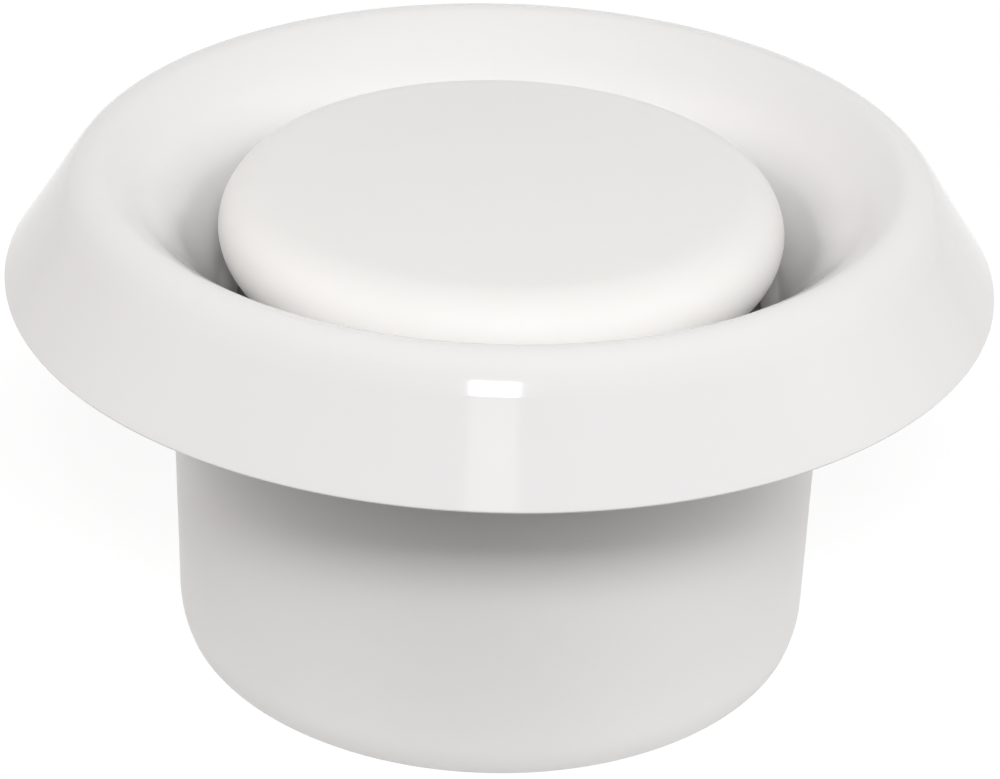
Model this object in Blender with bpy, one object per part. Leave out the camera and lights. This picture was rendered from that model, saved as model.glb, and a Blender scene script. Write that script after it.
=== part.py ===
"""Ventilation disc valve for a 100 mm duct.

A moulded rim with a bell mouth plugs into a duct collar. A round disc stands
in the bell mouth on a threaded spindle, which screws through the bridge behind
it, so turning the disc opens and closes the ring of air around it.

Units are metres, +Z points out of the duct into the room. The origin is the
centre of the collar's open end, where the valve stands on a table.
"""

import math

import bmesh
import bpy
from mathutils import Matrix

MM = 0.001
TURN = 2.0 * math.pi

# Facets around a large and a small round piece
ROUND_SEGMENTS = 60
SMALL_SEGMENTS = 24

# Clearances
SEAT_GAP = 0.3 * MM
THREAD_GAP = 0.3 * MM

# Duct collar, the size that the valve is made for
COLLAR_RADIUS = 49.5 * MM
COLLAR_DRAFT = 0.25 * MM
COLLAR_LENGTH = 59.7 * MM
COLLAR_WALL = 2.1 * MM
LEAD_IN_HEIGHT = 4.3 * MM
LEAD_IN_DEPTH = 0.7 * MM
COLLAR_FLANGE_WIDTH = 10.5 * MM
COLLAR_FLANGE_THICKNESS = 1.8 * MM
SCREW_COUNT = 3
SCREW_HOLE_RADIUS = 2.2 * MM
COUNTERSINK_DEPTH = 1.2 * MM
BEAD_DEPTH = 1.5 * MM
BEAD_HEIGHT = 2.0 * MM
BEAD_DROP = 6.5 * MM
BEAD_ARC = math.radians(85.0)

# Foam gasket behind the collar's flange
GASKET_THICKNESS = 3.0 * MM
GASKET_WIDTH = 9.0 * MM
GASKET_HOLE_RADIUS = 3.2 * MM

# Rim and bell mouth of the valve ring, outwards from the collar
CREST_REACH = 9.8 * MM
FACE_REACH = 14.2 * MM
RIM_WALL = 2.2 * MM
RIM_EDGE_ROUND = 0.25 * MM
FACE_HOLLOW = 0.3 * MM
CREST_HEIGHT = 16.7 * MM
SHOULDER_ROUND = 5.7 * MM
CREST_INNER_ROUND = 3.3 * MM
SEAT_DROP = 0.6 * MM
THROAT_LIP = 4.3 * MM

# Plug tube of the valve ring, and the lugs that lock it in the collar
PLUG_WALL = 1.8 * MM
PLUG_TAIL = 3.9 * MM
LUG_COUNT = 3
LUG_ARC = math.radians(26.0)
LUG_HEIGHT = 2.5 * MM

# Bridge across the plug tube
ARM_COUNT = 3
ARM_THICKNESS = 2.6 * MM
ARM_EDGE_THICKNESS = 1.4 * MM
ARM_HEIGHT = 9.5 * MM
HUB_WALL = 2.1 * MM
HUB_HEIGHT = 13.0 * MM
HUB_ROUND = 1.5 * MM

# Metric thread M8, its full nut, its thin nuts and its washers
THREAD_RADIUS = 3.95 * MM
THREAD_PITCH = 1.25 * MM
NUT_ACROSS_FLATS = 13.0 * MM
NUT_HEIGHT = 6.5 * MM
THIN_NUT_HEIGHT = 4.0 * MM
WASHER_RADIUS = 8.0 * MM
WASHER_THICKNESS = 1.6 * MM
SPINDLE_CHAMFER = 0.8 * MM
SPINDLE_TAIL = 2.6 * MM

# Disc, which overlaps the throat when it is closed
DISC_OVERLAP = 2.6 * MM
DISC_EDGE_ROUND = 7.4 * MM
DISC_CROWN = 0.9 * MM
DISC_WALL = 2.0 * MM
DISC_EDGE_TURN = math.radians(-48.0)
DISC_OPENING = 6.7 * MM
BOSS_RADIUS = 8.0 * MM
BOSS_DEPTH = 13.5 * MM
BOSS_FILLET = 0.8 * MM
BOSS_DRAFT = 0.3 * MM
SOCKET_DEPTH = 10.0 * MM
RIB_COUNT = 6
RIB_THICKNESS = 1.5 * MM
RIB_HEIGHT = 7.0 * MM

# Turns of the disc from the photographed place
CLOSING_TURNS = 5
OPENING_TURNS = 8

# Heights of the main levels
WALL_Z = COLLAR_LENGTH
CLOSING_TRAVEL = CLOSING_TURNS * THREAD_PITCH
OPENING_TRAVEL = OPENING_TURNS * THREAD_PITCH

# Radii that follow from the driving dimensions
BORE_RADIUS = COLLAR_RADIUS - COLLAR_WALL
PLUG_RADIUS = BORE_RADIUS - BEAD_DEPTH - SEAT_GAP
PLUG_BORE = PLUG_RADIUS - PLUG_WALL
THROAT_RADIUS = PLUG_BORE - THROAT_LIP
DISC_RADIUS = THROAT_RADIUS + DISC_OVERLAP
CREST_RADIUS = COLLAR_RADIUS + CREST_REACH
RIM_RADIUS = CREST_RADIUS + FACE_REACH
SCREW_CIRCLE_RADIUS = COLLAR_RADIUS + 0.5 * COLLAR_FLANGE_WIDTH
THREAD_HOLE_RADIUS = THREAD_RADIUS + THREAD_GAP
HEXAGON_CORNER = 1.0 / math.cos(math.radians(30.0))
POCKET_SIZE = NUT_ACROSS_FLATS + 2.0 * SEAT_GAP
POCKET_RADIUS = 0.5 * POCKET_SIZE * HEXAGON_CORNER
HUB_RADIUS = POCKET_RADIUS + HUB_WALL


def arc(centre, radius, start, end, steps):
    """Points of an arc in the r-z plane, angles in radians from +r towards +z."""
    points = []
    for i in range(steps + 1):
        angle = start + (end - start) * i / steps
        points.append((centre[0] + radius * math.cos(angle), centre[1] + radius * math.sin(angle)))
    return points


def tangent_angle(point, centre, radius):
    """Angle of the normal where a line from an outer point touches a circle from above."""
    dr, dz = point[0] - centre[0], point[1] - centre[1]
    return math.atan2(dz, dr) + math.acos(radius / math.hypot(dr, dz))


def bell_slope():
    """Slope of the bell's cone, which touches the crest's round and seats on the collar's mouth."""
    run = CREST_RADIUS - BORE_RADIUS
    rise = CREST_HEIGHT - CREST_INNER_ROUND + SEAT_DROP
    offset = CREST_INNER_ROUND - RIM_WALL - SEAT_GAP
    return math.atan2(rise, run) + math.asin(offset / math.hypot(run, rise))


BELL_SLOPE = bell_slope()


def bell_height(radius, depth=0.0):
    """Height, above the wall, of the bell's cone at a radius and a depth behind its face."""
    touch = 0.25 * TURN + BELL_SLOPE
    centre_z = CREST_HEIGHT - CREST_INNER_ROUND
    r = CREST_RADIUS + CREST_INNER_ROUND * math.cos(touch)
    z = centre_z + CREST_INNER_ROUND * math.sin(touch)
    return z - (r - radius) * math.tan(BELL_SLOPE) - depth / math.cos(BELL_SLOPE)


def new_object(name, mesh_data, parent=None, location=(0.0, 0.0, 0.0)):
    """Links a bmesh as a named object, with its faces pointing outwards."""
    bmesh.ops.remove_doubles(mesh_data, verts=mesh_data.verts, dist=0.001 * MM)
    bmesh.ops.recalc_face_normals(mesh_data, faces=mesh_data.faces)
    mesh = bpy.data.meshes.new(name)
    mesh_data.to_mesh(mesh)
    mesh_data.free()
    mesh.shade_smooth()
    mesh.set_sharp_from_angle(angle=math.radians(30.0))
    obj = bpy.data.objects.new(name, mesh)
    bpy.context.scene.collection.objects.link(obj)
    obj.parent = parent
    obj.location = location
    return obj


def outline(mesh_data, points):
    """Adds r-z points as an outline in the XZ plane, closed unless both its ends are on the axis."""
    verts = [mesh_data.verts.new((r, 0.0, z)) for r, z in points]
    edges = [mesh_data.edges.new((a, b)) for a, b in zip(verts, verts[1:])]
    if points[0][0] > 0.0 or points[-1][0] > 0.0:
        edges.append(mesh_data.edges.new((verts[-1], verts[0])))
    return verts + edges


def revolve(points, segments=ROUND_SEGMENTS):
    """Turns an outline around the Z axis into a bmesh."""
    mesh_data = bmesh.new()
    geometry = outline(mesh_data, points)
    bmesh.ops.spin(
        mesh_data, geom=geometry, cent=(0, 0, 0), axis=(0, 0, 1),
        angle=TURN, steps=segments, use_merge=True, use_duplicate=False,
    )
    return mesh_data


def revolve_sectors(points, count, span, first=0.0):
    """Turns a closed outline through a span, with flat ends, at even places around Z."""
    mesh_data = bmesh.new()
    steps = max(2, round(ROUND_SEGMENTS * span / TURN))
    for i in range(count):
        start = first + i * TURN / count - 0.5 * span
        geometry = outline(mesh_data, points)
        verts = [g for g in geometry if isinstance(g, bmesh.types.BMVert)]
        bmesh.ops.rotate(mesh_data, verts=verts, cent=(0, 0, 0), matrix=Matrix.Rotation(start, 3, "Z"))
        bmesh.ops.spin(
            mesh_data, geom=geometry, cent=(0, 0, 0), axis=(0, 0, 1),
            angle=span, steps=steps, use_merge=False, use_duplicate=False,
        )
    open_edges = [e for e in mesh_data.edges if e.is_boundary]
    bmesh.ops.holes_fill(mesh_data, edges=open_edges, sides=0)
    return mesh_data


def prisms(points, thickness, count, first=0.0):
    """Plates of an r-z outline, centred on even directions around Z."""
    mesh_data = bmesh.new()
    for i in range(count):
        verts = [mesh_data.verts.new((r, -0.5 * thickness, z)) for r, z in points]
        face = mesh_data.faces.new(verts)
        grown = bmesh.ops.extrude_face_region(mesh_data, geom=[face])["geom"]
        moved = [g for g in grown if isinstance(g, bmesh.types.BMVert)]
        bmesh.ops.translate(mesh_data, verts=moved, vec=(0, thickness, 0))
        turn = Matrix.Rotation(first + i * TURN / count, 3, "Z")
        bmesh.ops.rotate(mesh_data, verts=verts + moved, cent=(0, 0, 0), matrix=turn)
    return mesh_data


def boolean(target, tool, operation):
    """Joins a tool to a piece, or cuts it away, and leaves the tool hidden."""
    modifier = target.modifiers.new(tool.name, "BOOLEAN")
    modifier.object = tool
    modifier.operation = operation
    modifier.solver = "EXACT"
    tool.hide_render = True
    tool.display_type = "WIRE"


def finish(obj, colour, roughness, metallic=0.0):
    """Gives a piece its own material."""
    material = bpy.data.materials.new(obj.name)
    material.use_nodes = True
    shader = material.node_tree.nodes["Principled BSDF"]
    shader.inputs["Base Color"].default_value = (*colour, 1.0)
    shader.inputs["Roughness"].default_value = roughness
    shader.inputs["Metallic"].default_value = metallic
    obj.data.materials.append(material)


def empty(name, location):
    """A frame that pieces are placed in."""
    frame = bpy.data.objects.new(name, None)
    bpy.context.scene.collection.objects.link(frame)
    frame.location = location
    return frame


WHITE = (0.85, 0.85, 0.83)
GREY_WHITE = (0.80, 0.81, 0.79)
FOAM = (0.62, 0.62, 0.60)
ZINC = (0.62, 0.63, 0.64)


def collar_profile():
    """Section of the collar, from the top of its conical seat around to the bore."""
    flange_radius = COLLAR_RADIUS + COLLAR_FLANGE_WIDTH
    top = WALL_Z + COLLAR_FLANGE_THICKNESS
    edge = 0.3 * COLLAR_FLANGE_THICKNESS
    seat_depth = RIM_WALL + SEAT_GAP
    seat_foot = WALL_Z + bell_height(BORE_RADIUS, seat_depth)
    seat_top = BORE_RADIUS + (top - seat_foot) / math.tan(BELL_SLOPE)
    tip = COLLAR_RADIUS - COLLAR_DRAFT - LEAD_IN_DEPTH
    inner_edge = 0.2 * (tip - BORE_RADIUS)
    points = [(BORE_RADIUS, seat_foot), (seat_top, top), (flange_radius - edge, top)]
    points += [(flange_radius, top - edge), (flange_radius, WALL_Z), (COLLAR_RADIUS, WALL_Z)]
    points += [(COLLAR_RADIUS - COLLAR_DRAFT, LEAD_IN_HEIGHT)]
    points += [(tip, inner_edge), (tip - inner_edge, 0.0)]
    points += [(BORE_RADIUS + inner_edge, 0.0), (BORE_RADIUS, inner_edge)]
    return points


def screw_cutters(name, radius, low, high, sink=0.0):
    """Round cutters on the screw circle, with a 45 degree countersink of a given depth."""
    section = [(0.0, low), (radius, low), (radius, high - sink)]
    if sink:
        section.append((radius + 2.0 * sink, high + sink))
    section.append((0.0, high + sink))
    cutters = bmesh.new()
    for i in range(SCREW_COUNT):
        cutter = revolve(section, SMALL_SEGMENTS)
        angle = 0.25 * TURN + (i + 0.5) * TURN / SCREW_COUNT
        place = Matrix.Rotation(angle, 4, "Z") @ Matrix.Translation((SCREW_CIRCLE_RADIUS, 0, 0))
        bmesh.ops.transform(cutter, verts=cutter.verts, matrix=place)
        mesh = bpy.data.meshes.new(name)
        cutter.to_mesh(mesh)
        cutter.free()
        cutters.from_mesh(mesh)
        bpy.data.meshes.remove(mesh)
    return new_object(name, cutters)


def build_collar():
    """Sleeve that goes in the duct, with its screw flange and the beads that hold the valve."""
    collar = new_object("duct_collar", revolve(collar_profile()))
    low = WALL_Z - BEAD_DROP - BEAD_HEIGHT
    high = WALL_Z - BEAD_DROP
    inside = BORE_RADIUS - BEAD_DEPTH
    root = BORE_RADIUS + 0.4 * COLLAR_WALL
    bead = [(inside, low), (root, low), (root, high + BEAD_DEPTH), (BORE_RADIUS, high + BEAD_DEPTH)]
    bead += [(inside, high)]
    beads = new_object("collar_beads", revolve_sectors(bead, LUG_COUNT, BEAD_ARC, 0.25 * TURN))
    boolean(collar, beads, "UNION")
    low = WALL_Z - SEAT_GAP
    high = WALL_Z + COLLAR_FLANGE_THICKNESS
    holes = screw_cutters("collar_screw_holes", SCREW_HOLE_RADIUS, low, high, COUNTERSINK_DEPTH)
    boolean(collar, holes, "DIFFERENCE")
    finish(collar, GREY_WHITE, 0.35)
    return collar


def build_gasket():
    """Foam ring on the back of the collar's flange, punched for the screws."""
    inner = COLLAR_RADIUS + SEAT_GAP
    top = WALL_Z - SEAT_GAP
    low = top - GASKET_THICKNESS
    outer = inner + GASKET_WIDTH
    section = [(inner, low), (outer, low), (outer, top), (inner, top)]
    gasket = new_object("wall_gasket", revolve(section))
    holes = screw_cutters("gasket_holes", GASKET_HOLE_RADIUS, low - SEAT_GAP, top + SEAT_GAP)
    boolean(gasket, holes, "DIFFERENCE")
    finish(gasket, FOAM, 0.9)
    return gasket


def ring_profile():
    """Section of the valve ring, in heights above the wall."""
    foot = (RIM_RADIUS, 0.0)
    shoulder = (CREST_RADIUS, CREST_HEIGHT - SHOULDER_ROUND)
    inner = (CREST_RADIUS, CREST_HEIGHT - CREST_INNER_ROUND)
    face_angle = tangent_angle(foot, shoulder, SHOULDER_ROUND)
    quarter = 0.25 * TURN
    bell_angle = quarter + BELL_SLOPE
    touch = arc(shoulder, SHOULDER_ROUND, face_angle, face_angle, 1)[0]

    points = arc((RIM_RADIUS - RIM_EDGE_ROUND, RIM_EDGE_ROUND), RIM_EDGE_ROUND, -quarter, 0.0, 2)
    for share in (0.3, 0.7):
        sag = 4.0 * FACE_HOLLOW * share * (1.0 - share)
        r = foot[0] + (touch[0] - foot[0]) * share - sag * math.cos(face_angle)
        z = foot[1] + (touch[1] - foot[1]) * share - sag * math.sin(face_angle)
        points.append((r, z))
    points += arc(shoulder, SHOULDER_ROUND, face_angle, quarter, 5)
    points += arc(inner, CREST_INNER_ROUND, quarter, bell_angle, 4)[1:]

    tip_radius = THROAT_RADIUS + 0.5 * RIM_WALL
    tip = (tip_radius, bell_height(tip_radius, 0.5 * RIM_WALL))
    points += arc(tip, 0.5 * RIM_WALL, bell_angle, bell_angle + 2.0 * quarter, 4)

    plug_edge = 0.25 * PLUG_WALL
    points += [(PLUG_BORE, bell_height(PLUG_BORE, RIM_WALL))]
    plug_end = arm_foot() - PLUG_TAIL
    points += [(PLUG_BORE, plug_end + plug_edge), (PLUG_BORE + plug_edge, plug_end)]
    points += [(PLUG_RADIUS - 2.0 * plug_edge, plug_end)]
    points += [(PLUG_RADIUS, plug_end + 2.0 * plug_edge)]
    points += [(PLUG_RADIUS, bell_height(PLUG_RADIUS, RIM_WALL))]

    back_inner = max(CREST_INNER_ROUND - RIM_WALL, 0.2 * MM)
    back_shoulder = max(SHOULDER_ROUND - RIM_WALL, 0.2 * MM)
    points += arc(inner, back_inner, bell_angle, quarter, 2)
    points += arc(shoulder, back_shoulder, quarter, face_angle, 3)[1:]
    points += [(foot[0] - RIM_WALL / math.cos(face_angle), 0.0)]
    return points


def hub_top():
    """Height of the hub's top face above the wall, under the closed disc's nut."""
    boss_foot = disc_height() + DISC_EDGE_ROUND - BOSS_DEPTH
    nut_foot = boss_foot - WASHER_THICKNESS - THIN_NUT_HEIGHT - 2.0 * SEAT_GAP
    return nut_foot - SEAT_GAP - CLOSING_TRAVEL


def arm_foot():
    """Height of the arms' lower edge above the wall, with the arms half way up the hub."""
    return hub_top() - 0.5 * (HUB_HEIGHT + ARM_HEIGHT)


def build_ring():
    """Rim, bell mouth, plug tube and bridge, moulded in one piece."""
    wall = (0.0, 0.0, WALL_Z)
    ring = new_object("valve_ring", revolve(ring_profile()), location=wall)

    lug_top = -BEAD_DROP - BEAD_HEIGHT - SEAT_GAP
    lug_root = PLUG_RADIUS - 0.4 * PLUG_WALL
    lug_tip = BORE_RADIUS - SEAT_GAP
    ramp = 0.5 * (lug_tip - PLUG_RADIUS)
    lug_low = lug_top - LUG_HEIGHT
    lug = [(lug_root, lug_top), (lug_root, lug_low), (PLUG_RADIUS + ramp, lug_low)]
    lug += [(lug_tip, lug_low + ramp), (lug_tip, lug_top)]
    lug_shape = revolve_sectors(lug, LUG_COUNT, LUG_ARC, 0.25 * TURN)
    lugs = new_object("ring_lugs", lug_shape, location=wall)
    boolean(ring, lugs, "UNION")

    top = hub_top()
    foot = top - HUB_HEIGHT
    hub_points = [(0.0, foot), (HUB_RADIUS, foot)]
    hub_points += arc((HUB_RADIUS - HUB_ROUND, top - HUB_ROUND), HUB_ROUND, 0.0, 0.25 * TURN, 3)
    hub_points += [(0.0, top)]
    hub = new_object("bridge_hub", revolve(hub_points, SMALL_SEGMENTS), location=wall)
    boolean(ring, hub, "UNION")

    arms = new_object("bridge_arms", arm_bars(), location=wall)
    boolean(ring, arms, "UNION")

    bore = [(0.0, foot - SEAT_GAP), (THREAD_HOLE_RADIUS, foot - SEAT_GAP)]
    bore += [(THREAD_HOLE_RADIUS, top + SEAT_GAP), (0.0, top + SEAT_GAP)]
    bore_tool = new_object("hub_bore", revolve(bore, SMALL_SEGMENTS), location=wall)
    boolean(ring, bore_tool, "DIFFERENCE")
    pocket = hexagon(POCKET_SIZE, foot - SEAT_GAP, foot + NUT_HEIGHT + SEAT_GAP)
    pocket_tool = new_object("hub_pocket", pocket, location=wall)
    boolean(ring, pocket_tool, "DIFFERENCE")
    finish(ring, WHITE, 0.22)
    return ring


def arm_bars():
    """Bars of the bridge, from inside the hub's wall to inside the plug's, thinner at both edges."""
    mesh_data = bmesh.new()
    start = 0.5 * (POCKET_RADIUS + HUB_RADIUS)
    reach = PLUG_BORE + 0.5 * PLUG_WALL
    low = arm_foot()
    half, edge = 0.5 * ARM_THICKNESS, 0.5 * ARM_EDGE_THICKNESS
    section = [(-edge, low), (edge, low), (half, low + 0.35 * ARM_HEIGHT)]
    section += [(edge, low + ARM_HEIGHT), (-edge, low + ARM_HEIGHT), (-half, low + 0.35 * ARM_HEIGHT)]
    for i in range(ARM_COUNT):
        verts = [mesh_data.verts.new((start, y, z)) for y, z in section]
        face = mesh_data.faces.new(verts)
        grown = bmesh.ops.extrude_face_region(mesh_data, geom=[face])["geom"]
        moved = [g for g in grown if isinstance(g, bmesh.types.BMVert)]
        bmesh.ops.translate(mesh_data, verts=moved, vec=(reach - start, 0, 0))
        turn = Matrix.Rotation(0.25 * TURN + i * TURN / ARM_COUNT, 3, "Z")
        bmesh.ops.rotate(mesh_data, verts=verts + moved, cent=(0, 0, 0), matrix=turn)
    return mesh_data


def hexagon(across_flats, low, high):
    """A six-sided bar on the Z axis."""
    mesh_data = bmesh.new()
    radius = 0.5 * across_flats * HEXAGON_CORNER
    bmesh.ops.create_cone(
        mesh_data, cap_ends=True, cap_tris=False, segments=6,
        radius1=radius, radius2=radius, depth=high - low,
    )
    bmesh.ops.translate(mesh_data, verts=mesh_data.verts, vec=(0, 0, 0.5 * (low + high)))
    return mesh_data


def build_nut(name, height, low, parent=None):
    """Hexagon nut with its corners turned off at 30 degrees on both faces."""
    nut = new_object(name, hexagon(NUT_ACROSS_FLATS, 0.0, height), parent, (0.0, 0.0, low))
    corner = 0.5 * NUT_ACROSS_FLATS * HEXAGON_CORNER
    face = 0.48 * NUT_ACROSS_FLATS
    fall = (corner - face) * math.tan(math.radians(30.0))
    turned = [(THREAD_HOLE_RADIUS, 0.0), (face, 0.0), (corner, fall)]
    turned += [(corner, height - fall), (face, height), (THREAD_HOLE_RADIUS, height)]
    shape = new_object(name + "_turning", revolve(turned, SMALL_SEGMENTS), parent, (0.0, 0.0, low))
    boolean(nut, shape, "INTERSECT")
    finish(nut, ZINC, 0.35, 1.0)
    return nut


def build_washer(name, low, parent=None):
    """Plain washer."""
    section = [(THREAD_HOLE_RADIUS, 0.0), (WASHER_RADIUS, 0.0)]
    section += [(WASHER_RADIUS, WASHER_THICKNESS), (THREAD_HOLE_RADIUS, WASHER_THICKNESS)]
    washer = new_object(name, revolve(section, SMALL_SEGMENTS), parent, (0.0, 0.0, low))
    finish(washer, ZINC, 0.35, 1.0)
    return washer


def disc_height():
    """Height of the disc's edge centre above the wall, at its opening from the seat."""
    touch_radius = DISC_RADIUS - DISC_EDGE_ROUND + DISC_EDGE_ROUND * math.sin(BELL_SLOPE)
    return bell_height(touch_radius) + DISC_EDGE_ROUND * math.cos(BELL_SLOPE) + DISC_OPENING


def disc_profile():
    """Section of the disc about the centre of its rounded edge."""
    centre = (DISC_RADIUS - DISC_EDGE_ROUND, 0.0)
    quarter = 0.25 * TURN
    inner_round = DISC_EDGE_ROUND - DISC_WALL
    points = []
    for share in (0.0, 0.35, 0.7):
        points.append((centre[0] * share, DISC_EDGE_ROUND + DISC_CROWN * (1.0 - share * share)))
    points += arc(centre, DISC_EDGE_ROUND, quarter, DISC_EDGE_TURN, 11)
    tip_centre = arc(centre, DISC_EDGE_ROUND - 0.5 * DISC_WALL, DISC_EDGE_TURN, DISC_EDGE_TURN, 1)[0]
    tip_arc = arc(tip_centre, 0.5 * DISC_WALL, DISC_EDGE_TURN, DISC_EDGE_TURN - 2.0 * quarter, 4)
    points += tip_arc[1:-1]
    points += arc(centre, inner_round, DISC_EDGE_TURN, quarter, 6)
    boss_low = DISC_EDGE_ROUND - BOSS_DEPTH
    roof = DISC_EDGE_ROUND + DISC_CROWN - DISC_WALL
    points += [(BOSS_RADIUS + BOSS_FILLET, roof), (BOSS_RADIUS, roof - BOSS_FILLET)]
    points += [(BOSS_RADIUS - BOSS_DRAFT, boss_low), (THREAD_HOLE_RADIUS, boss_low)]
    points += [(THREAD_HOLE_RADIUS, boss_low + SOCKET_DEPTH), (0.0, boss_low + SOCKET_DEPTH)]
    return points


def build_disc(parent):
    """Hollow disc with a rolled edge, a boss for the spindle and ribs under its face."""
    disc = new_object("control_disc", revolve(disc_profile()), parent)
    centre = (DISC_RADIUS - DISC_EDGE_ROUND, 0.0)
    middle = DISC_EDGE_ROUND - 0.5 * DISC_WALL
    inside = THREAD_HOLE_RADIUS + 0.5 * (BOSS_RADIUS - THREAD_HOLE_RADIUS)
    rib = [(inside, middle - RIB_HEIGHT), (centre[0], middle - 0.8 * RIB_HEIGHT)]
    rib += arc(centre, middle, math.radians(20.0), 0.25 * TURN, 3)
    rib += [(inside, middle + 0.5 * DISC_CROWN)]
    ribs = new_object("disc_ribs", prisms(rib, RIB_THICKNESS, RIB_COUNT, TURN / 12), parent)
    boolean(disc, ribs, "UNION")
    finish(disc, WHITE, 0.3)
    return disc


def build_spindle(parent, low, high):
    """Threaded spindle, as a plain bar of the thread's outer size."""
    end_radius = THREAD_RADIUS - SPINDLE_CHAMFER
    section = [(0.0, low), (end_radius, low), (THREAD_RADIUS, low + SPINDLE_CHAMFER)]
    section += [(THREAD_RADIUS, high - SPINDLE_CHAMFER), (end_radius, high), (0.0, high)]
    spindle = new_object("spindle", revolve(section, SMALL_SEGMENTS), parent)
    finish(spindle, ZINC, 0.35, 1.0)
    return spindle


def main():
    """Builds every piece of the valve in its place."""
    for obj in list(bpy.data.objects):
        bpy.data.objects.remove(obj, do_unlink=True)

    build_collar()
    build_gasket()
    build_ring()

    hub_foot = WALL_Z + hub_top() - HUB_HEIGHT
    build_nut("hub_nut", NUT_HEIGHT, hub_foot)
    washer_low = hub_foot - SEAT_GAP - WASHER_THICKNESS
    build_washer("lock_washer", washer_low)
    lock_nut_low = washer_low - SEAT_GAP - THIN_NUT_HEIGHT
    build_nut("lock_nut", THIN_NUT_HEIGHT, lock_nut_low)

    disc_z = WALL_Z + disc_height()
    disc_axis = empty("disc_axis", (0.0, 0.0, disc_z))
    build_disc(disc_axis)
    boss_low = DISC_EDGE_ROUND - BOSS_DEPTH
    disc_washer_low = boss_low - SEAT_GAP - WASHER_THICKNESS
    build_washer("disc_washer", disc_washer_low, disc_axis)
    build_nut("disc_nut", THIN_NUT_HEIGHT, disc_washer_low - SEAT_GAP - THIN_NUT_HEIGHT, disc_axis)
    spindle_low = lock_nut_low - SPINDLE_TAIL - OPENING_TRAVEL - disc_z
    build_spindle(disc_axis, spindle_low, boss_low + SOCKET_DEPTH - SEAT_GAP)


main()
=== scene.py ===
"""Finished surfaces of a ventilation disc valve, with its studio and camera.

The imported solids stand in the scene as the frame. Each moulding is turned here
from the same section in fine steps, and takes the place of its faceted solid.

Lengths in the classes are millimetres in the frame's coordinates: +Z points out
of the duct, and the origin is the centre of the collar's open end.
"""

from __future__ import annotations

import logging
import math
from dataclasses import dataclass, field
from enum import Enum
from typing import Protocol

import bmesh
import bpy
from mathutils import Matrix, Vector


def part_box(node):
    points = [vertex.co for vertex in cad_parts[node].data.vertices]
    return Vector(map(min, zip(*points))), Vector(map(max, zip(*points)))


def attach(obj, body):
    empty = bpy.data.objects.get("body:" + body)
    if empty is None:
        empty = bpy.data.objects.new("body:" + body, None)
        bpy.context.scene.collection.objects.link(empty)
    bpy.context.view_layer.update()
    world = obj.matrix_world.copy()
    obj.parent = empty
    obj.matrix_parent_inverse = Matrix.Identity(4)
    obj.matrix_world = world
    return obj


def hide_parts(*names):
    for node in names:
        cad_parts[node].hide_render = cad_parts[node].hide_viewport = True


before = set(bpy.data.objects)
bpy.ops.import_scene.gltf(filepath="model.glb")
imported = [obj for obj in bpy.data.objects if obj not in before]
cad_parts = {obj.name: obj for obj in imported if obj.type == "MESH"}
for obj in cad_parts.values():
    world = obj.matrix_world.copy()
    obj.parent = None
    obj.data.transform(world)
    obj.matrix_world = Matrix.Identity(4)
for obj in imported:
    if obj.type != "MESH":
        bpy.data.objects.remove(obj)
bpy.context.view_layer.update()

MM = 0.001
TURN = math.tau
HALF = 0.5 * math.tau
QUARTER = 0.25 * math.tau

# Steps around a large and a small turned piece, and the longest angle and length of a step along an arc
ROUND_STEPS = 256
SMALL_STEPS = 96
ARC_STEP = math.radians(5.0)
LONG_STEP = 0.9
# Steps across the rim's face and the disc's dome
FACE_STEPS = 16
DOME_STEPS = 24
# Angle past which an edge is sharp enough to round, and distance in metres at which two points are one
SHARP = math.radians(40.0)
CLOSE = 1e-6
# How far a cutter reaches past what it cuts, and the share of a wall that a joined shape reaches into
PAST = 1.0
ROOTED = 0.4

Point = tuple[float, float]
Shape = bmesh.types.BMesh
log = logging.getLogger("disc_valve")


class Body(Enum):
    """Bodies of the frame that a piece can ride on."""

    VALVE = "valve_body"
    SPINDLE = "spindle_body"
    DISC = "disc_body"


class Slot(Enum):
    """The record's material slots."""

    GLOSS = "white_gloss_plastic"
    SATIN = "white_satin_plastic"
    SLEEVE = "grey_white_plastic"
    FOAM = "grey_foam"
    ZINC = "zinc_plated_steel"


class Operation(Enum):
    """How a tool acts on a shape."""

    UNION = "UNION"
    DIFFERENCE = "DIFFERENCE"
    INTERSECT = "INTERSECT"


# Materials


def linear(colour: str) -> tuple[float, float, float, float]:
    """Turns an sRGB hex colour into a linear one.

    Args:
        colour: Six hex digits after a hash mark.

    Returns:
        Linear red, green and blue, and an alpha of one.
    """
    channels = [int(colour[i:i + 2], 16) / 255.0 for i in (1, 3, 5)]
    values = [c / 12.92 if c <= 0.04045 else ((c + 0.055) / 1.055) ** 2.4 for c in channels]
    return (values[0], values[1], values[2], 1.0)


def per_metre(size: float) -> float:
    """Scale of a pattern on object coordinates whose feature is this many millimetres."""
    return 1.0 / (size * MM)


def add_node(
    tree: bpy.types.NodeTree, kind: str, inputs: dict | None = None, **settings: object,
) -> bpy.types.Node:
    """Adds a node with its settings, values and links.

    Args:
        tree: Node tree that gets the node.
        kind: Blender's name for the node type.
        inputs: Value or output socket for each input, by its name or number.
        settings: Properties of the node itself.

    Returns:
        The new node.
    """
    node = tree.nodes.new(kind)
    for name, value in settings.items():
        setattr(node, name, value)
    for name, value in (inputs or {}).items():
        if isinstance(value, bpy.types.NodeSocket):
            tree.links.new(value, node.inputs[name])
        else:
            node.inputs[name].default_value = value
    return node


def blank_material(name: str) -> bpy.types.Material:
    """Makes a material whose node tree is empty.

    Args:
        name: Name of the material.

    Returns:
        The new material.
    """
    material = bpy.data.materials.new(name)
    material.use_nodes = True
    material.node_tree.nodes.clear()
    return material


class Finish(Protocol):
    """Anything that can make its own material."""

    def material(self) -> bpy.types.Material:
        """Makes the finish as a node material."""


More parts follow.
